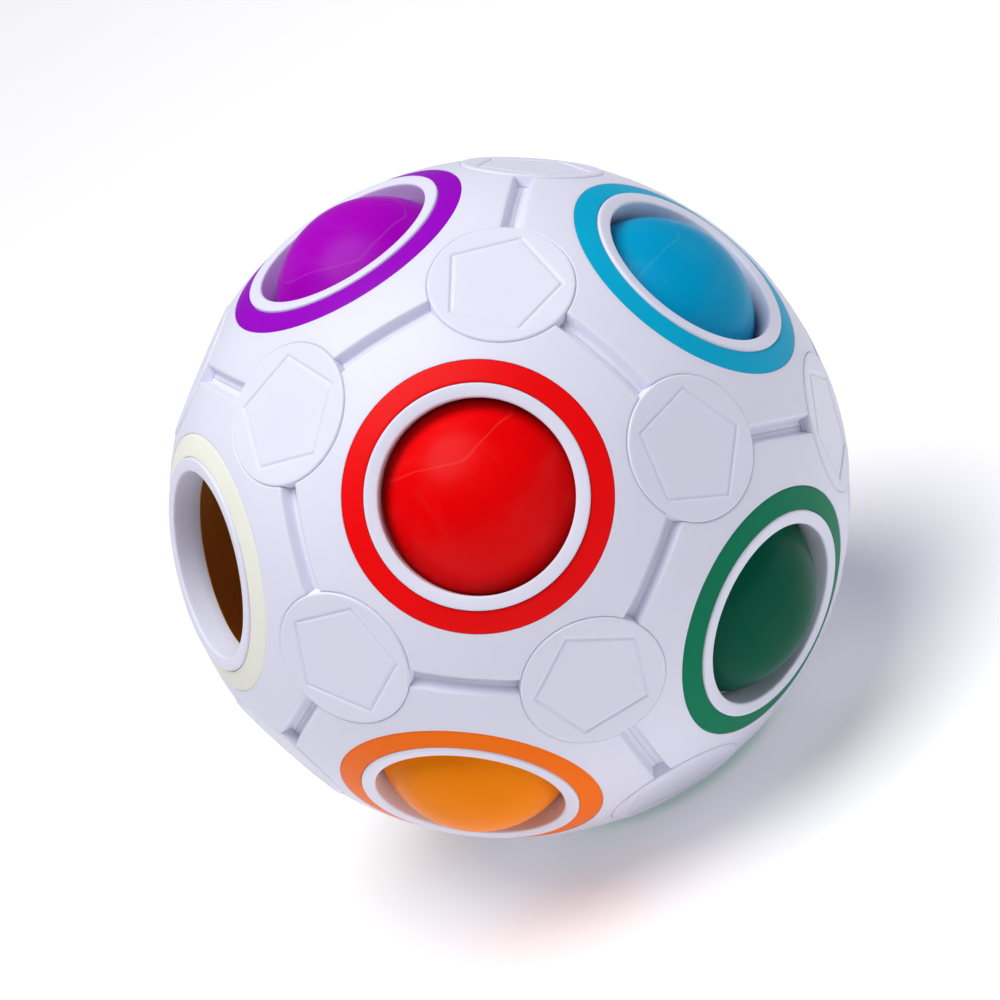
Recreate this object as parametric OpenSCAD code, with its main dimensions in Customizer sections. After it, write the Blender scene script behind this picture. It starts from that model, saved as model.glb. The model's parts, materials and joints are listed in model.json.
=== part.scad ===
// Ball-shifting sphere puzzle: a hollow shell of twelve five-sided panels, each with one round
// hole. Eleven loose balls sit in the holes and a loose core ball keeps them in the outer layer.
// A ball beside the empty hole is pressed in, rolls over the core and pops out of the empty hole.
// Everything is laid out about the shell's centre. The puzzle stands on the flat rim of one hole.

/* [Shell] */
// Thickness of a panel
shell_wall = 3.1; // [3:0.1:6]
// Gap between two neighbouring panels
panel_gap = 0.1; // [0.06:0.02:0.4]
// Width of the groove along each edge between two panels, where it meets the surface
slot_w = 1.8; // [1:0.1:2.5]
// Width of that groove's floor, between its two sloping walls
slot_floor_w = 0.5; // [0.3:0.1:0.9]
// Depth of that groove
slot_depth = 1; // [0.4:0.1:1.4]

/* [Holes] */
// Diameter of each hole
hole_d = 19; // [14:0.1:20]
// Width of the rim that stands round each hole
rim_w = 1.4; // [1:0.1:2.5]
// How far the rim's flat end stands above the ring round it
rim_rise = 0.2; // [0.1:0.05:1]
// Chamfer on the rim's edges
rim_chamfer = 0.15; // [0.05:0.05:0.4]

/* [Coloured rings] */
// Width of the ring let in round each rim
ring_w = 2.3; // [1:0.1:4]
// Depth of the ring's groove below the rim's outer edge
ring_depth = 1.5; // [0.8:0.1:1.8]
// Clearance between the ring and the groove's walls
ring_clear = 0.05; // [0.02:0.01:0.2]

/* [Balls] */
// Diameter of each small ball
ball_d = 20.8; // [20:0.1:26]
// Gap between two neighbouring balls that are both pressed in, which sets the shell's size
ball_gap = 1.3; // [0.4:0.1:3]
// Gap between a seated ball and the hole's inner lip
seat_clear = 0.05; // [0.03:0.01:0.2]
// Gap between a ball and the core ball as it rolls over it
roll_clear = 0.1; // [0.05:0.05:0.4]
// Gap between a rolling ball and the shell's inner surface
shell_clear = 0.25; // [0.1:0.05:0.6]
// Gap under the ball in the bottom hole, where the floor pushes it in
floor_clear = 0.05; // [0.03:0.01:0.3]

/* [Corner caps] */
// Diameter of the round cap over each corner where three panels meet
cap_d = 14.4; // [10:0.1:15]
// Clearance round the cap
cap_clear = 0.12; // [0.05:0.01:0.3]
// How far the cap's flat face stands above the panels at its edge
cap_rise = 0.2; // [0.1:0.05:0.5]
// Thickness of the cap
cap_t = 1.3; // [1.2:0.1:1.6]
// Chamfer round the cap's face
cap_chamfer = 0.15; // [0.05:0.05:0.4]
// From the cap's edge to the corners of the pentagon cut into it
pentagon_margin = 0.9; // [0.6:0.1:2]
// Width of the pentagon's line
line_w = 0.4; // [0.2:0.05:0.8]
// Depth of the pentagon's line
line_depth = 0.15; // [0.1:0.05:0.3]

/* [Corner screws] */
// Diameter of the retainer inside each corner
retainer_d = 8; // [6:0.1:10]
// Diameter of the boss that stands up through the three panel corners
boss_d = 3.4; // [2.6:0.1:4]
// Clearance round the retainer and its boss
retainer_clear = 0.1; // [0.05:0.01:0.3]
// Thickness of the web of panel that each screw clamps
web_t = 0.6; // [0.5:0.1:1]
// Diameter of the screw's head
head_d = 4.4; // [4:0.1:5.5]
// Height of the screw's head
head_h = 0.6; // [0.4:0.1:0.8]
// Diameter of the screw's thread
screw_d = 1.8; // [1.4:0.1:2.4]
// Clearance between the thread and its hole
screw_clear = 0.03; // [0.02:0.01:0.1]
// Plastic left under the tip of the screw
tip_wall = 0.4; // [0.3:0.1:0.6]
// Width of the slot in the screw's head
driver_w = 0.6; // [0.4:0.1:1]

/* [Hidden] */
$fn = 240;
EPS = 0.01;
PENTAGON = 5;

// The colour name and the colour of each hole's panel and ring, from the top hole down
HOLES = ["purple", "red", "blue", "lime", "yellow", "white",
         "green", "navy", "pink", "amber", "orange", "teal"];
RING_COLOURS = ["#9a14d2", "#e8101a", "#16b4d8", "#7ac62a", "#f2d21c", "#f4f4e6",
                "#0e8a5c", "#2450b4", "#f277ae", "#c48a3c", "#ff7a08", "#1fb3a6"];
SHELL_COLOUR = "#ecebf6";
TOP = 0;
YELLOW = 4;
EMPTY = 5;
BOTTOM = 11;
FULL = [for (i = [0:BOTTOM]) if (i != EMPTY) i];
CORNERS = 20;

// Angles of a regular twelve-sided body, seen from its centre: from one hole to the next, from a
// hole to the middle of its edge, and from the top hole down to the two upper rows of corners
hole_step = atan(2);
edge_angle = hole_step / 2;
corner_angle = acos(sqrt((5 + 2 * sqrt(5)) / 15));
corner_row = acos(sqrt((5 - 2 * sqrt(5)) / 15));
turn_step = 360 / PENTAGON;
front = -90;

// Two neighbouring balls pressed in to roll_r keep ball_gap between them. The core fits inside
// that layer of balls and the shell fits round it.
ball_r = ball_d / 2;
roll_r = (ball_r + ball_gap / 2) / sin(edge_angle);
core_r = roll_r - roll_clear - ball_r;
inner_r = roll_r + ball_r + shell_clear;
shell_r = inner_r + shell_wall;
cut_size = 2 * shell_r;

// Radii and heights of the caps, rims and rings
cap_top = sqrt(pow(shell_r, 2) - pow(cap_d / 2, 2)) + cap_rise;
hole_r = hole_d / 2;
rim_r = hole_r + rim_w;
ring_r = rim_r + ring_w;
ring_top = sqrt(pow(shell_r, 2) - pow(rim_r, 2));
rim_top = ring_top + rim_rise;
ring_floor = ring_top - ring_depth;

// Where a ball rests against its lip, and where the floor holds the one in the bottom hole
lip_h = sqrt(pow(inner_r, 2) - pow(hole_r, 2));
seat_r = lip_h - sqrt(pow(ball_r + seat_clear, 2) - pow(hole_r, 2));
floor_r = min(seat_r, rim_top - floor_clear - ball_r);

// Heights along a corner's axis, from the shell's centre
cap_floor = cap_top - cap_t;
web_floor = cap_floor - web_t;
retainer_r = inner_r + retainer_clear / 2;
screw_tip = retainer_r + tip_wall;
head_gap = 0.15;

// A groove runs from one cap's seat into the next
half_edge = acos(cos(corner_angle) / cos(edge_angle));
slot_arc = 2 * (half_edge - asin(cap_d / 2 / shell_r)) + 1;

// Angle down from the top, and angle round, of hole i: the top one, two rows of five, the bottom
function hole_tilt(i) = i == TOP ? 0 : i == BOTTOM ? 180 : i <= PENTAGON ? hole_step : 180 - hole_step;
function hole_turn(i) = i == TOP ? front
    : i == BOTTOM ? front + turn_step / 2 + 180
    : i <= PENTAGON ? front + (i - 1) * turn_step
    : front + (i - PENTAGON - 0.5) * turn_step;
// A neighbouring hole lies at this angle about hole i's own axis
function first_edge(i) = i > TOP && i <= PENTAGON ? 180 : 0;

// Angle down from the top, and angle round, of corner i: four rows of five
function corner_tilt(i) = [corner_angle, corner_row, 180 - corner_row, 180 - corner_angle]
    [floor((i - 1) / PENTAGON)];
function corner_turn(i) = front + (i <= 2 * PENTAGON ? turn_step / 2 : 0) + (i - 1) * turn_step;
// A cap's pentagon points up in the first and third rows and down in the others
function pentagon_turn(i) = floor((i - 1) / PENTAGON) % 2 == 0 ? turn_step / 2 : 0;

// Children drawn along +Z from the shell's centre are put on hole i's axis
module on_hole(i) {
    translate([0, 0, rim_top])
        rotate([0, hole_tilt(i), hole_turn(i)])
            rotate([0, 0, first_edge(i)])
                children();
}

// The same for corner i
module on_corner(i) {
    translate([0, 0, rim_top])
        rotate([0, corner_tilt(i), corner_turn(i)])
            children();
}

// Children drawn along +Z are put at the five corners of a panel whose hole is on +Z
module at_panel_corners() {
    for (k = [0:PENTAGON - 1])
        rotate([0, corner_angle, (k + 0.5) * turn_step])
            children();
}

// A groove that follows the shell's surface along the edge that +Z passes through
module edge_groove() {
    over = 1;
    mouth_w = slot_w + over * (slot_w - slot_floor_w) / slot_depth;
    rotate([0, 90, 0])
        rotate([0, 0, 180 - slot_arc / 2])
            rotate_extrude(angle = slot_arc)
                polygon([[shell_r - slot_depth, -slot_floor_w / 2],
                         [shell_r + over, -mouth_w / 2],
                         [shell_r + over, mouth_w / 2],
                         [shell_r - slot_depth, slot_floor_w / 2]]);
}

// The grooves along a panel's five edges
module edge_grooves() {
    for (k = [0:PENTAGON - 1])
        rotate([0, edge_angle, k * turn_step])
            edge_groove();
}

// The pyramid that a panel is cut from, half a gap inside the planes between neighbouring holes
module panel_wedge() {
    wedge_tip = panel_gap / 2 / sin(edge_angle);
    wedge_r = cut_size * tan(edge_angle) / cos(turn_step / 2);
    translate([0, 0, wedge_tip])
        rotate([0, 0, turn_step / 2])
            cylinder(h = cut_size, r1 = 0, r2 = wedge_r, $fn = PENTAGON);
}

// The pockets at a corner: the cap's seat, the retainer's seat and the boss's hole between them
module corner_pockets() {
    translate([0, 0, cap_floor])
        cylinder(h = shell_r, r = cap_d / 2 + cap_clear);
    cylinder(h = web_floor, r = retainer_d / 2 + retainer_clear);
    cylinder(h = shell_r, r = boss_d / 2 + retainer_clear);
}

// The tube round the hole, with a flat end between two chamfers
module rim_tube() {
    rotate_extrude()
        polygon([[hole_r - rim_w, lip_h],
                 [rim_r, lip_h],
                 [rim_r, rim_top - rim_chamfer],
                 [rim_r - rim_chamfer, rim_top],
                 [hole_r - rim_w, rim_top]]);
}

// The bore through the rim, opening out over the chamfer at its mouth
module hole_bore() {
    cylinder(h = cut_size, r = hole_r);
    translate([0, 0, rim_top - rim_chamfer])
        cylinder(h = rim_chamfer + EPS, r1 = hole_r, r2 = hole_r + rim_chamfer + EPS);
}

module panel(i) {
    color(SHELL_COLOUR)
        on_hole(i)
            intersection() {
                panel_wedge();
                difference() {
                    union() {
                        difference() {
                            sphere(shell_r);
                            translate([0, 0, ring_floor])
                                cylinder(h = cut_size, r = ring_r);
                        }
                        rim_tube();
                    }
                    sphere(inner_r);
                    hole_bore();
                    edge_grooves();
                    at_panel_corners()
                        corner_pockets();
                }
            }
}

// The ring's face follows the shell's surface between the rim and the groove's outer wall
module ring(i) {
    color(RING_COLOURS[i])
        on_hole(i)
            intersection() {
                sphere(shell_r - ring_clear);
                translate([0, 0, ring_floor])
                    difference() {
                        cylinder(h = shell_r, r = ring_r - ring_clear);
                        translate([0, 0, -EPS])
                            cylinder(h = cut_size, r = rim_r + ring_clear);
                    }
            }
}

// Ten balls sit against their lips, the bottom one is pushed in by the floor, and the yellow one,
// next to the empty hole, has been pressed in until it meets the core
function ball_place(i) = i == BOTTOM ? floor_r : i == YELLOW ? roll_r : seat_r;

module ball(i) {
    color(RING_COLOURS[i])
        on_hole(i)
            translate([0, 0, ball_place(i)])
                sphere(ball_r);
}

module core_ball() {
    color("#d8d4cc")
        translate([0, 0, rim_top])
            sphere(core_r);
}

// A pentagon's line: the prism between two pentagons, cut into the cap's face
module pentagon_line() {
    pentagon_r = cap_d / 2 - pentagon_margin;
    translate([0, 0, cap_top - line_depth])
        linear_extrude(height = cap_t)
            difference() {
                circle(r = pentagon_r, $fn = PENTAGON);
                circle(r = pentagon_r - line_w / cos(turn_step / 2), $fn = PENTAGON);
            }
}

module corner_cap(i) {
    color(SHELL_COLOUR)
        on_corner(i)
            difference() {
                union() {
                    translate([0, 0, cap_floor])
                        cylinder(h = cap_t - cap_chamfer, r = cap_d / 2);
                    translate([0, 0, cap_top - cap_chamfer])
                        cylinder(h = cap_chamfer, r1 = cap_d / 2, r2 = cap_d / 2 - cap_chamfer);
                }
                cylinder(h = cap_floor + head_h + head_gap, r = head_d / 2 + head_gap);
                rotate([0, 0, pentagon_turn(i)])
                    pentagon_line();
            }
}

// The retainer's inner face carries on the shell's inner surface, so the balls roll past it
module corner_retainers() {
    color("#dcdbe8")
        for (i = [1:CORNERS])
            on_corner(i)
                difference() {
                    union() {
                        cylinder(h = web_floor, r = retainer_d / 2);
                        cylinder(h = cap_floor - retainer_clear, r = boss_d / 2);
                    }
                    sphere(retainer_r);
                    translate([0, 0, screw_tip - screw_clear])
                        cylinder(h = cap_t + shell_wall, r = screw_d / 2 + screw_clear);
                }
}

module corner_screws() {
    color("#b4b6ba")
        for (i = [1:CORNERS])
            on_corner(i)
                difference() {
                    union() {
                        translate([0, 0, screw_tip])
                            cylinder(h = cap_floor + EPS - screw_tip, r = screw_d / 2);
                        translate([0, 0, cap_floor])
                            cylinder(h = head_h, r = head_d / 2);
                    }
                    translate([0, 0, cap_floor + head_h])
                        cube([head_d + 1, driver_w, head_h], center = true);
                }
}

for (i = [0:BOTTOM])
    panel(i);
for (i = [0:BOTTOM])
    ring(i);
for (i = FULL)
    ball(i);
for (i = [1:CORNERS])
    corner_cap(i);
core_ball();
corner_retainers();
corner_screws();
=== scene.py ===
import json
import math

import bpy
import numpy as np
from mathutils import Matrix, Vector


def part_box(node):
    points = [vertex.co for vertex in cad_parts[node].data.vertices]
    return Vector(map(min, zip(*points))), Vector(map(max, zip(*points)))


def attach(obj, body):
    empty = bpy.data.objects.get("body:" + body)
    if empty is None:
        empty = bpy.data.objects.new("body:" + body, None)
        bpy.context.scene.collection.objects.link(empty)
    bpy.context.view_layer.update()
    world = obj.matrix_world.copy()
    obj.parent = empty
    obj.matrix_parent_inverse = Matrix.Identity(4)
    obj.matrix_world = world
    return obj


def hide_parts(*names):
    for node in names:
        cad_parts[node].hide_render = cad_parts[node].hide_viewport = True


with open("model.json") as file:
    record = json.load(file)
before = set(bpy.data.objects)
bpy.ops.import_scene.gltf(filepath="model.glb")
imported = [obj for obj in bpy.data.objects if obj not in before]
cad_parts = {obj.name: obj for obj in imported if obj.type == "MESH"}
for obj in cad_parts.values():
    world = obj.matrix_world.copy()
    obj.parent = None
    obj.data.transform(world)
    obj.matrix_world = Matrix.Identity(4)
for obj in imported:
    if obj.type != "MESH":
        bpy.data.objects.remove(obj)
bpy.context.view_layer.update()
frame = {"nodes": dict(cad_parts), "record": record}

MM = 0.001

# ---------------------------------------------------------------- sizes, in millimetres
# CENTRE and KNIT_HEIGHT are in metres. The frame gives the sphere's centre, and the sizes of the
# balls, holes and rings.
core_lo, core_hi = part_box("core_ball")
CENTRE = (core_lo + core_hi) / 2
CORE_R = (core_hi.z - core_lo.z) / 2 / MM
ball_lo, ball_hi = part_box("ball_purple")
BALL_R = (ball_hi.z - ball_lo.z) / 2 / MM
HOLE_R = next(m for m in frame["record"]["mounts"] if m["name"] == "empty_hole")["dims"]["r_mm"]
RIM_TOP = CENTRE.z / MM
ring_lo, ring_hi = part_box("ring_purple")
RING_CLEAR = 0.05
RING_R = (ring_hi.x - ring_lo.x) / 2 / MM
RING_FLOOR = (ring_lo.z - CENTRE.z) / MM

# The rim, the shell and the grooves along its edges
RIM_R = 10.9
RIM_RISE = 0.2
RIM_ROUND = 0.22
LIP_ROUND = 0.12
SHELL_R = math.hypot(RIM_TOP - RIM_RISE, RIM_R)
SHELL_WALL = 3.1
INNER_R = SHELL_R - SHELL_WALL
PANEL_GAP = 0.03
SLOT_W = 1.8
SLOT_SHOULDER = 0.15
SLOT_WALL_SHARE = 0.6
SLOT_DEPTH = 1.1
EDGE_ROUND = 0.2

# The corners: the caps, the web that they sit on, the screws' heads and the retainers' pockets
CAP_R = 7.2
CAP_CLEAR = 0.05
BITE_R = CAP_R + CAP_CLEAR
CAP_RISE = 0.2
CAP_T = 1.3
CAP_TOP = math.sqrt(SHELL_R ** 2 - CAP_R ** 2) + CAP_RISE
CAP_CROWN = 0.05
CAP_FLOOR = CAP_TOP - CAP_T
PENTAGON_R = 6.3
LINE_W = 0.6
LINE_DEPTH = 0.15
WEB_T = 0.6
WEB_FLOOR = CAP_FLOOR - WEB_T
WEB_UNDER_SLOT = 0.7
BOSS_R = 1.8
HEAD_R = 2.35
HEAD_ROOM = 0.75
HEAD_TOP = CAP_FLOOR + HEAD_ROOM
RETAINER_R = 4.1

# The balls' knit line, above the ball's centre
KNIT_HEIGHT = 9.6 * MM

# ---------------------------------------------------------------- directions
HOLES = ("purple", "red", "blue", "lime", "yellow", "white",
         "green", "navy", "pink", "amber", "orange", "teal")
EMPTY = "white"
CORNERS = 20
STEP = math.atan(2)
EDGE = STEP / 2
CORNER = math.acos(math.sqrt((5 + 2 * math.sqrt(5)) / 15))
CORNER_ROW = math.acos(math.sqrt((5 - 2 * math.sqrt(5)) / 15))
FIFTH = math.tau / 5
FRONT = -math.pi / 2


def aim(tilt, turn, spin=0.0):
    """The placement that puts a piece drawn along +Z from the centre on a direction."""
    return (Matrix.Translation(CENTRE) @ Matrix.Rotation(turn, 4, "Z")
            @ Matrix.Rotation(tilt, 4, "Y") @ Matrix.Rotation(spin, 4, "Z"))


def hole_place(i):
    """The top hole, the upper row of five, the lower row of five, the bottom hole."""
    if i == 0:
        return aim(0, FRONT)
    if i <= 5:
        return aim(STEP, FRONT + (i - 1) * FIFTH, math.pi)
    if i <= 10:
        return aim(math.pi - STEP, FRONT + (i - 5.5) * FIFTH)
    return aim(math.pi, FRONT + FIFTH / 2 + math.pi)


def corner_place(i):
    """Corner i, from 1: four rows of five, from the top down. Its pentagon points up, then down."""
    row = (i - 1) // 5
    tilt = (CORNER, CORNER_ROW, math.pi - CORNER_ROW, math.pi - CORNER)[row]
    turn = FRONT + (FIFTH / 2 if row < 2 else 0) + (i - 1) * FIFTH
    return aim(tilt, turn, FIFTH / 2 if row % 2 == 0 else 0)


# ---------------------------------------------------------------- meshes from loops
def skin(name, loops, ends="open", smooth_angle=40):
    """A mesh from closed loops of equal length, each joined to the next.
    ends: "ring" joins the last loop to the first, "poles" closes both ends with a point."""
    loops = [np.asarray(loop, float) for loop in loops]
    n = len(loops[0])
    points = [p for loop in loops for p in loop]
    faces = []
    last = len(loops) if ends == "ring" else len(loops) - 1
    for a in range(last):
        b = (a + 1) % len(loops)
        for i in range(n):
            j = (i + 1) % n
            faces.append((a * n + i, a * n + j, b * n + j, b * n + i))
    if ends == "poles":
        for loop, start, flip in ((loops[0], 0, True), (loops[-1], (len(loops) - 1) * n, False)):
            pole = len(points)
            points.append(loop.mean(axis=0))
            for i in range(n):
                j = (i + 1) % n
                pair = (start + j, start + i) if flip else (start + i, start + j)
                faces.append((pole, *pair))
    mesh = bpy.data.meshes.new(name)
    mesh.from_pydata([tuple(p * MM) for p in points], [], faces)
    mesh.update()
    mesh.shade_smooth()
    mesh.set_sharp_from_angle(angle=math.radians(smooth_angle))
    mesh.validate()
    return mesh


def circle(r, z, turns):
    return np.stack([r * np.cos(turns), r * np.sin(turns), np.full(len(turns), z)], axis=1)


def arc(centre, radius, start, end, steps):
    """Points (r, z) on an arc in the profile plane, angles in degrees from +r."""
    return [(centre[0] + radius * math.cos(math.radians(a)),
             centre[1] + radius * math.sin(math.radians(a)))
            for a in np.linspace(start, end, steps + 1)]


def unit(v):
    return v / np.linalg.norm(v, axis=-1, keepdims=True)


# ---------------------------------------------------------------- the panel's outline
def edge_tilt(turn, inset):
    """Tilt of a panel's edge, seen from its hole, at a turn from the edge's middle."""
    a, b = np.cos(turn) * math.cos(EDGE), math.sin(EDGE)
    return np.arctan2(b, a) - np.arcsin(inset / (SHELL_R * np.hypot(a, b)))


def bite_tilt(turn, bite):
    """Tilt of the near side of a circle of that radius round the corner, or none where it misses."""
    off = FIFTH / 2 - turn
    reach = np.sqrt(math.cos(CORNER) ** 2 + (math.sin(CORNER) * np.cos(off)) ** 2)
    part = math.cos(math.asin(bite / SHELL_R)) / reach
    middle = np.arctan2(math.sin(CORNER) * np.cos(off), math.cos(CORNER))
    return np.where(part <= 1, middle - np.arccos(np.clip(part, -1, 1)), np.inf)


def outline_tilt(turn, inset, bite):
    """The outline between two corners' middles: the edge, with a circle bitten out of the corner."""
    turn = np.abs(turn)
    return np.minimum(edge_tilt(turn, inset), bite_tilt(turn, bite))


def meeting_turn(inset, bite):
    """The turn at which the bite meets the edge."""
    low, high = 0.0, FIFTH / 2
    for _ in range(50):
        mid = (low + high) / 2
        if bite_tilt(mid, bite) < edge_tilt(mid, inset):
            high = mid
        else:
            low = mid
    return high


def outline_turns():
    """Turns from an edge's middle to the corner, close together where the outline bends."""
    meet = meeting_turn(SLOT_W / 2, BITE_R)
    along = [meet * f for f in (0, 0.15, 0.3, 0.45, 0.6, 0.75, 0.87, 0.95, 0.985)]
    half = math.asin(BITE_R / SHELL_R)
    start = math.radians(53)
    round_part = []
    for t in np.linspace(start, 0, 20):
        tilt = CORNER - half * math.cos(t)
        off = math.asin(math.sin(half) * math.sin(t) / math.sin(tilt))
        round_part.append(FIFTH / 2 - off)
    round_part = [t for t in round_part if t > meet + 0.002]
    return np.array(along + [meet] + round_part)


# TURNS go once round the hole's axis; WITHIN is each one's turn from its edge's middle
HALF_TURNS = outline_turns()
EDGE_TURNS = np.concatenate([-HALF_TURNS[-2:0:-1], HALF_TURNS])
TURNS = np.concatenate([EDGE_TURNS + k * FIFTH for k in range(5)])
WITHIN = np.tile(EDGE_TURNS, 5)
CORNER_DIRS = np.array([[math.sin(CORNER) * math.cos((k + 0.5) * FIFTH),
                         math.sin(CORNER) * math.sin((k + 0.5) * FIFTH),
                         math.cos(CORNER)] for k in range(5)])


def outline(inset, bite):
    """Unit directions of a panel's outline."""
    tilt = outline_tilt(WITHIN, inset, bite)
    return np.stack([np.sin(tilt) * np.cos(TURNS), np.sin(tilt) * np.sin(TURNS), np.cos(tilt)], axis=1)


def outward(dirs):
    """Unit directions along the surface, away from the panel, square to the outline."""
    tangent = unit(np.roll(dirs, -1, axis=0) - dirs) + unit(dirs - np.roll(dirs, 1, axis=0))
    return unit(np.cross(unit(tangent), dirs))


def nearest_corner(dirs):
    return (dirs @ CORNER_DIRS.T).max(axis=1)


def softened(dirs):
    """The outline with its sharp corners eased, in two passes."""
    for _ in range(2):
        dirs = unit(dirs * 0.6 + (np.roll(dirs, 1, axis=0) + np.roll(dirs, -1, axis=0)) * 0.2)
    return dirs


def between(a, b, steps):
    """Unit directions part of the way from one loop to another, both ends left out."""
    return [unit(a * (1 - f) + b * f) for f in np.linspace(0, 1, steps + 2)[1:-1]]


def edge_lines(steps=15, rounding=4):
    """Loops from a panel's face down its border: along an edge the border curves down to the
    groove's floor, and round a corner it turns over a rounded edge and drops to the cap's seat."""
    turn = np.abs(WITHIN)
    in_bite = (bite_tilt(turn, BITE_R) < edge_tilt(turn, SLOT_W / 2))[:, None]
    wall = softened(outline(SLOT_W / 2, BITE_R))
    away = outward(wall)
    seat = (CAP_FLOOR / nearest_corner(wall))[:, None]
    lines = []
    for k in range(steps + 1):
        f = k / steps
        inset = (SLOT_W / 2 + SLOT_SHOULDER) * (1 - f) + PANEL_GAP / 2 * f
        slope = min(f / SLOT_WALL_SHARE, 1)
        sunk = SLOT_DEPTH * slope ** 2 * (3 - 2 * slope)
        curve = softened(outline(inset, BITE_R)) * (SHELL_R - sunk)
        a = min(k / rounding, 1) * math.pi / 2
        down = max(k - rounding, 0) / (steps - rounding)
        top = SHELL_R - EDGE_ROUND * (1 - math.cos(a))
        drop = wall * (top + (seat - top) * down) - away * EDGE_ROUND * (1 - math.sin(a))
        lines.append(np.where(in_bite, drop, curve))
    return lines


def panel_mesh():
    """Rim, ring seat, outer face, rounded edges, grooves, corner pockets and inner face."""
    loops = []

    def profile(points):
        loops.extend(circle(r, z, TURNS) for r, z in points)

    lip = math.sqrt(INNER_R ** 2 - HOLE_R ** 2)
    profile([(HOLE_R + LIP_ROUND, math.sqrt(INNER_R ** 2 - (HOLE_R + LIP_ROUND) ** 2)),
             (HOLE_R + 0.03, lip + 0.04), (HOLE_R, lip + LIP_ROUND)])
    profile([(HOLE_R, lip + 1.2), (HOLE_R, lip + 2.4)])
    profile(arc((HOLE_R + RIM_ROUND, RIM_TOP - RIM_ROUND), RIM_ROUND, 180, 90, 6))
    profile(arc((RIM_R - RIM_ROUND, RIM_TOP - RIM_ROUND), RIM_ROUND, 90, 0, 6))
    groove_r = RING_R + 0.02
    profile([(RIM_R, RING_FLOOR + 0.8), (RIM_R, RING_FLOOR), (groove_r, RING_FLOOR)])
    seat_top = math.sqrt(SHELL_R ** 2 - groove_r ** 2)
    round_r = 0.07
    profile([(groove_r, seat_top - round_r), (groove_r + 0.02, seat_top - 0.025)])
    start = unit(circle(groove_r + round_r, math.sqrt(SHELL_R ** 2 - (groove_r + round_r) ** 2), TURNS))
    loops.append(start * SHELL_R)

    lines = edge_lines()
    loops.extend(d * SHELL_R for d in between(start, unit(lines[0]), 14))
    loops.extend(lines)

    slot_r = SHELL_R - SLOT_DEPTH
    boss = outline(PANEL_GAP / 2, BOSS_R)
    web_r = slot_r - WEB_UNDER_SLOT
    loops.append(boss * np.minimum(CAP_FLOOR / nearest_corner(boss), slot_r)[:, None])
    loops.append(boss * np.minimum(WEB_FLOOR / nearest_corner(boss), web_r)[:, None])
    pocket = outline(PANEL_GAP / 2, RETAINER_R)
    loops.append(pocket * np.minimum(WEB_FLOOR / nearest_corner(pocket), web_r - 0.1)[:, None])
    loops.append(pocket * INNER_R)
    loops.extend(d * INNER_R for d in between(pocket, unit(loops[0]), 8))
    return skin("panel", loops[::-1], "ring", 32)


def ring_mesh():
    """The coloured ring: flat under, its face following the sphere, its top edges rounded."""
    turns = np.linspace(0, math.tau, 160, endpoint=False)
    inner, outer, face = RIM_R + RING_CLEAR, RING_R, SHELL_R - RING_CLEAR
    round_r = 0.06

    def height(r):
        return math.sqrt(face ** 2 - r ** 2)

    points = [(inner, RING_FLOOR), (inner, height(inner) - round_r),
              (inner + 0.02, height(inner + 0.02) - 0.02)]
    points += [(r, height(r)) for r in np.linspace(inner + round_r, outer - round_r, 9)]
    points += [(outer - 0.02, height(outer - 0.02) - 0.02), (outer, height(outer) - round_r),
               (outer, RING_FLOOR)]
    return skin("ring", [circle(r, z, turns) for r, z in points][::-1], "ring", 50)


def ball_mesh(name, radius, seam=0.012):
    """A moulded ball with the fine step that its two mould halves leave round its middle."""
    turns = np.linspace(0, math.tau, 96, endpoint=False)
    tilts = list(np.radians(np.linspace(1.5, 88, 40)))
    tilts += list(np.radians([89.2, 89.6, 89.85]))
    tilts += [math.pi / 2] + [math.pi - t for t in tilts[::-1]]

    def size(t):
        off = abs(math.degrees(t) - 90)
        return radius - seam * math.exp(-(off / 0.4) ** 2)

    return skin(name, [circle(size(t) * math.sin(t), size(t) * math.cos(t), turns)
                       for t in tilts][::-1], "poles", 60)


def cap_mesh():
    """A round cap with a pentagon's line pressed into its nearly flat face."""
    sides, per_side = 5, 24
    turns = np.linspace(0, math.tau, sides * per_side, endpoint=False)
    off = np.mod(turns, FIFTH) - FIFTH / 2
    flat = math.cos(FIFTH / 2) / np.cos(off)

    def loop(r, drop=0.0):
        crown = CAP_CROWN * (r / CAP_R) ** 2
        return np.stack([r * np.cos(turns), r * np.sin(turns), CAP_TOP - crown - drop], axis=1)

    line = LINE_W / math.cos(FIFTH / 2)
    middle_drop = 0.02
    loops = [loop(flat * (PENTAGON_R - line) * f, middle_drop)
             for f in (0.02, 0.15, 0.3, 0.45, 0.6, 0.75, 0.88, 0.96)]
    for f, drop in ((0.0, middle_drop), (0.18, middle_drop + 0.03), (0.36, LINE_DEPTH),
                    (0.64, LINE_DEPTH), (0.85, 0.03), (1.0, 0.0)):
        loops.append(loop(flat * (PENTAGON_R - line + line * f), drop))
    edge = CAP_R - EDGE_ROUND
    for f in (0.12, 0.35, 0.6, 0.85, 1.0):
        loops.append(loop(flat * PENTAGON_R * (1 - f) + edge * f))
    for a in np.radians((22.5, 45, 67.5, 90)):
        r = np.full(len(turns), edge + EDGE_ROUND * math.sin(a))
        loops.append(loop(r, EDGE_ROUND * (1 - math.cos(a))))
    loops.append(circle(CAP_R, CAP_FLOOR, turns))
    loops.append(circle(HEAD_R, CAP_FLOOR, turns))
    loops.append(circle(HEAD_R, HEAD_TOP, turns))
    loops.append(circle(0.3, HEAD_TOP, turns))
    return skin("cap", loops[::-1], "poles", 32)


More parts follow.
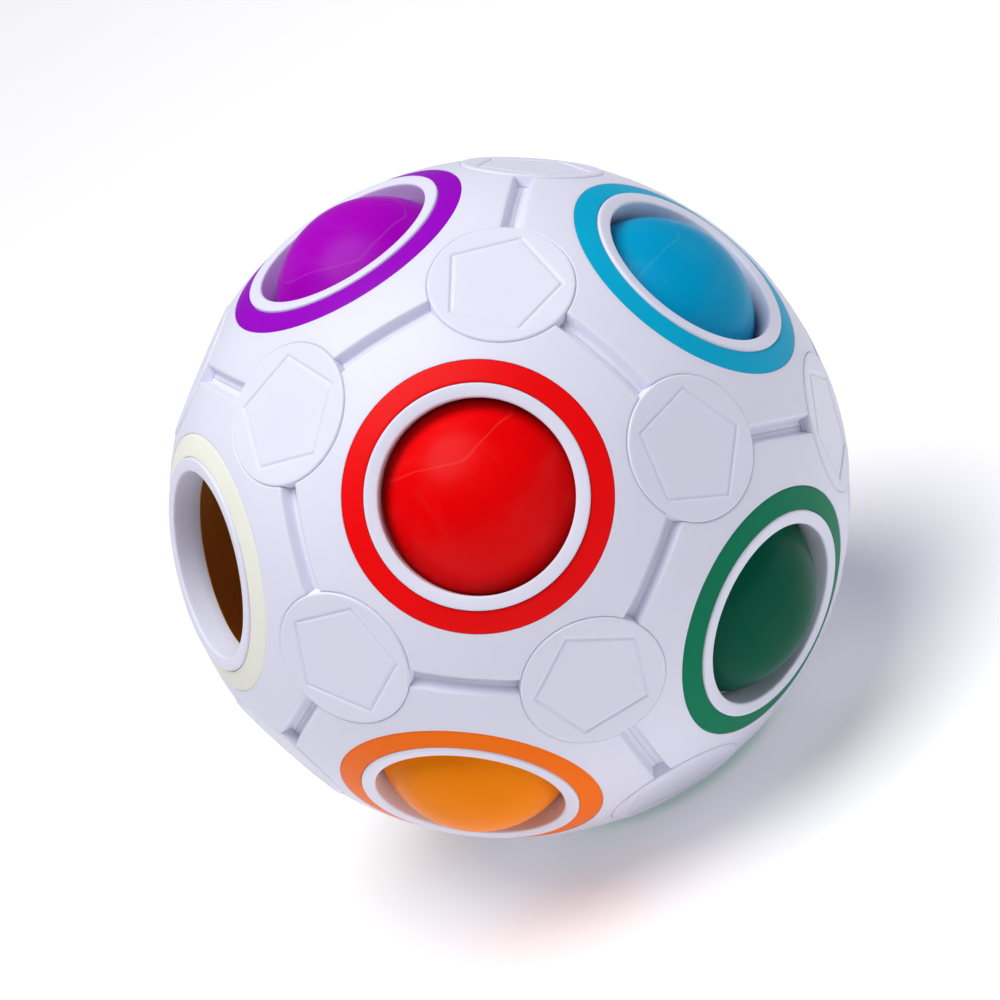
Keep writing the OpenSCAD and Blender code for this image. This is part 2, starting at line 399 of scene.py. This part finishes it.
# ---------------------------------------------------------------- materials
def plastic(name, colour, roughness, tint=0.03, specular=0.3, grain=0.2, flow=0.0, soft=0.0,
            painted_bounce=None):
    """Moulded plastic: slight colour drift, a fine mould texture and, if asked, paler flow marks
    with a knit line, or painted warm bounce light on the shell's inner face."""
    m = bpy.data.materials.new(name)
    m.use_nodes = True
    nodes, links = m.node_tree.nodes, m.node_tree.links
    bsdf = nodes["Principled BSDF"]
    bsdf.inputs["IOR"].default_value = 1.5
    bsdf.inputs["Specular IOR Level"].default_value = specular
    bsdf.inputs["Subsurface Weight"].default_value = soft
    bsdf.inputs["Subsurface Radius"].default_value = (1.0, 0.9, 1.0)
    bsdf.inputs["Subsurface Scale"].default_value = 0.0012
    place = nodes.new("ShaderNodeTexCoord")

    def noise(scale, detail, distortion=0.0):
        n = nodes.new("ShaderNodeTexNoise")
        n.inputs["Scale"].default_value = scale
        n.inputs["Detail"].default_value = detail
        n.inputs["Distortion"].default_value = distortion
        links.new(place.outputs["Object"], n.inputs["Vector"])
        return n.outputs["Fac"]

    drift = noise(90, 3)
    ramp = nodes.new("ShaderNodeValToRGB")
    ramp.color_ramp.elements[0].position = 0.3
    ramp.color_ramp.elements[1].position = 0.7
    ramp.color_ramp.elements[0].color = (*[c * (1 - tint) for c in colour], 1)
    ramp.color_ramp.elements[1].color = (*[min(1, c * (1 + tint)) for c in colour], 1)
    links.new(drift, ramp.inputs["Fac"])
    base = ramp.outputs["Color"]

    def ranged(value, low, high, top):
        r = nodes.new("ShaderNodeMapRange")
        r.inputs["From Min"].default_value = low
        r.inputs["From Max"].default_value = high
        r.inputs["To Max"].default_value = top
        links.new(value, r.inputs["Value"])
        return r.outputs["Result"]

    def over(factor, first, second):
        mix = nodes.new("ShaderNodeMix")
        mix.data_type = "RGBA"
        mix.inputs["B"].default_value = (*second, 1)
        links.new(factor, mix.inputs["Factor"])
        links.new(first, mix.inputs["A"])
        return mix.outputs["Result"]

    def math_node(operation, *values):
        n = nodes.new("ShaderNodeMath")
        n.operation = operation
        for k, value in enumerate(values):
            if isinstance(value, (int, float)):
                n.inputs[k].default_value = value
            else:
                links.new(value, n.inputs[k])
        return n.outputs["Value"]

    if flow:
        pale = [0.25 + 0.75 * c for c in colour]
        base = over(ranged(noise(70, 8, 2.5), 0.5, 0.75, flow), base, pale)
        parts = nodes.new("ShaderNodeSeparateXYZ")
        links.new(place.outputs["Object"], parts.inputs["Vector"])
        wave = math_node("MULTIPLY_ADD", noise(110, 1), 4 * MM, parts.outputs["Z"])
        off = math_node("ABSOLUTE", math_node("SUBTRACT", wave, KNIT_HEIGHT))
        base = over(ranged(off, 0.1 * MM, 0.0, 3 * flow), base, pale)
    # Painted warm bounce light on the shell's inner face, mixed in by distance from the centre.
    if painted_bounce:
        reach = nodes.new("ShaderNodeVectorMath")
        reach.operation = "DISTANCE"
        reach.inputs[1].default_value = CENTRE
        links.new(place.outputs["Object"], reach.inputs[0])
        base = over(ranged(reach.outputs["Value"], (INNER_R + 0.12) * MM, (INNER_R + 0.06) * MM, 1.0),
                    base, painted_bounce)
    links.new(base, bsdf.inputs["Base Color"])

    rough = ranged(drift, 0.3, 0.7, roughness + 0.05)
    rough.node.inputs["To Min"].default_value = roughness - 0.05
    links.new(rough, bsdf.inputs["Roughness"])

    bump = nodes.new("ShaderNodeBump")
    bump.inputs["Strength"].default_value = grain
    bump.inputs["Distance"].default_value = 0.00002
    links.new(noise(2600, 4), bump.inputs["Height"])
    links.new(bump.outputs["Normal"], bsdf.inputs["Normal"])
    return m


def steel(name):
    m = plastic(name, (0.62, 0.63, 0.65), 0.32, tint=0.08)
    m.node_tree.nodes["Principled BSDF"].inputs["Metallic"].default_value = 1.0
    return m


RING_COLOURS = {
    "purple": (0.3, 0.0, 0.5), "red": (0.88, 0.002, 0.003), "blue": (0.0, 0.4, 0.64),
    "lime": (0.2, 0.56, 0.02), "yellow": (0.86, 0.62, 0.01), "white": (0.86, 0.86, 0.76),
    "green": (0.0, 0.19, 0.09), "navy": (0.01, 0.05, 0.36), "pink": (0.85, 0.13, 0.34),
    "amber": (0.45, 0.17, 0.02), "orange": (1.0, 0.17, 0.0), "teal": (0.01, 0.36, 0.32),
}
BALL_COLOURS = dict(RING_COLOURS,
                    purple=(0.38, 0.0, 0.48), red=(0.82, 0.0, 0.001), blue=(0.0, 0.3, 0.54),
                    green=(0.0, 0.088, 0.046), orange=(1.0, 0.25, 0.0))
SHELL_WHITE = (0.77, 0.775, 0.9)
# Painted warm bounce light: the orange stands in for light thrown off the coloured balls inside the
# shell. It is not a colour of the plastic itself.
BOUNCE_PAINT_COLOUR = (1.0, 0.56, 0.1)

shell_plastic = plastic("shell_plastic", SHELL_WHITE, 0.45, tint=0.012, soft=0.15, painted_bounce=BOUNCE_PAINT_COLOUR)
cap_plastic = plastic("cap_plastic", SHELL_WHITE, 0.45, tint=0.012, soft=0.15)
# The retainers carry the same painted warm bounce light as their colour.
inner_bounce_paint = plastic("inner_bounce_paint", BOUNCE_PAINT_COLOUR, 0.5)
core_plastic = plastic("core_plastic", (0.66, 0.63, 0.56), 0.45, flow=0.1)
screw_steel = steel("screw_steel")
ring_plastic = {h: plastic(f"ring_plastic_{h}", c, 0.45, specular=0.08) for h, c in RING_COLOURS.items()}
ball_plastic = {h: plastic(f"ball_plastic_{h}", c, 0.36, tint=0.06, specular=0.06, flow=0.03)
                for h, c in BALL_COLOURS.items() if h != EMPTY}


# ---------------------------------------------------------------- pieces
def piece(name, mesh, place, material, node, body, at=(0, 0, 0)):
    """A finished piece in place of its CAD node: its mesh is placed, then moved to a point."""
    o = bpy.data.objects.new(name, mesh.copy())
    bpy.context.scene.collection.objects.link(o)
    o.data.transform(place)
    o.location = at
    o.data.materials.append(material)
    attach(o, body)
    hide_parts(node)
    return o


def node_centre(node):
    lo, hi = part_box(node)
    return (lo + hi) / 2


panel, ring, cap = panel_mesh(), ring_mesh(), cap_mesh()
ball = ball_mesh("ball", BALL_R)
rng = np.random.default_rng(11)
for i, hole in enumerate(HOLES):
    place = hole_place(i)
    piece(f"shell_panel_{hole}", panel, place, shell_plastic, f"panel_{hole}", "shell")
    piece(f"colour_ring_{hole}", ring, place, ring_plastic[hole], f"ring_{hole}", "shell")
    if hole == EMPTY:
        continue
    lean = Matrix.Rotation(rng.uniform(0, math.tau), 4, "Z") @ Matrix.Rotation(
        rng.uniform(0.5, 2.6), 4, "X")
    piece(f"puzzle_ball_{hole}", ball, lean, ball_plastic[hole], f"ball_{hole}", f"{hole}_ball",
          node_centre(f"ball_{hole}"))

for i in range(1, CORNERS + 1):
    piece(f"round_cap_{i}", cap, corner_place(i), cap_plastic, f"corner_cap_{i}", "shell")

piece("inner_core", ball_mesh("core", CORE_R), Matrix(), core_plastic,
      "core_ball", "core", CENTRE)
for node, material in (("corner_retainers", inner_bounce_paint), ("corner_screws", screw_steel)):
    mesh = frame["nodes"][node].data
    mesh.materials.clear()
    mesh.materials.append(material)

# ---------------------------------------------------------------- floor, lights and camera
CAMERA_FROM_CENTRE = Vector((38.6, -438.8, 191.8)) * MM
CAMERA_RIGHT = Vector((0.8522, -0.1428, -0.5035))
CAMERA_UP = Vector((0.5169, 0.3811, 0.7666))
LENS = 168.9


def stage():
    bpy.ops.mesh.primitive_plane_add(size=6, location=(0, 0, 0))
    floor = bpy.context.object
    floor.name = "floor"
    m = bpy.data.materials.new("floor_paper")
    m.use_nodes = True
    bsdf = m.node_tree.nodes["Principled BSDF"]
    bsdf.inputs["Base Color"].default_value = (0.92, 0.92, 0.92, 1)
    bsdf.inputs["Roughness"].default_value = 0.9
    bsdf.inputs["Emission Color"].default_value = (1, 1, 1, 1)
    bsdf.inputs["Emission Strength"].default_value = 0.2
    floor.data.materials.append(m)


def area(name, direction, distance, size, power):
    """A soft light, placed by its direction in the camera's own right, up and back."""
    back = CAMERA_RIGHT.cross(CAMERA_UP)
    way = (CAMERA_RIGHT * direction[0] + CAMERA_UP * direction[1] + back * direction[2]).normalized()
    data = bpy.data.lights.new(name, "AREA")
    data.shape = "DISK"
    data.size = size
    data.energy = power
    o = bpy.data.objects.new(name, data)
    o.location = CENTRE + way * distance
    o.rotation_mode = "QUATERNION"
    o.rotation_quaternion = way.to_track_quat("Z", "Y")
    bpy.context.scene.collection.objects.link(o)


def camera():
    data = bpy.data.cameras.new("camera")
    data.lens = LENS
    data.sensor_width = 36
    data.clip_start = 0.01
    data.clip_end = 20
    o = bpy.data.objects.new("camera", data)
    bpy.context.scene.collection.objects.link(o)
    back = CAMERA_RIGHT.cross(CAMERA_UP)
    turn = Matrix((CAMERA_RIGHT, CAMERA_UP, back)).transposed().to_4x4()
    o.matrix_world = Matrix.Translation(CENTRE + CAMERA_FROM_CENTRE) @ turn
    bpy.context.scene.camera = o


stage()
area("key", (-0.68, 0.8, 0.64), 0.9, 0.8, 9.3)
area("glow", (0.53, 0.82, -0.2), 0.9, 0.4, 0.4)
world = bpy.data.worlds.new("studio")
world.use_nodes = True
world.node_tree.nodes["Background"].inputs["Color"].default_value = (0.82, 0.79, 1.0, 1)
world.node_tree.nodes["Background"].inputs["Strength"].default_value = 0.16
bpy.context.scene.world = world
bpy.context.scene.view_settings.view_transform = "Standard"
camera()
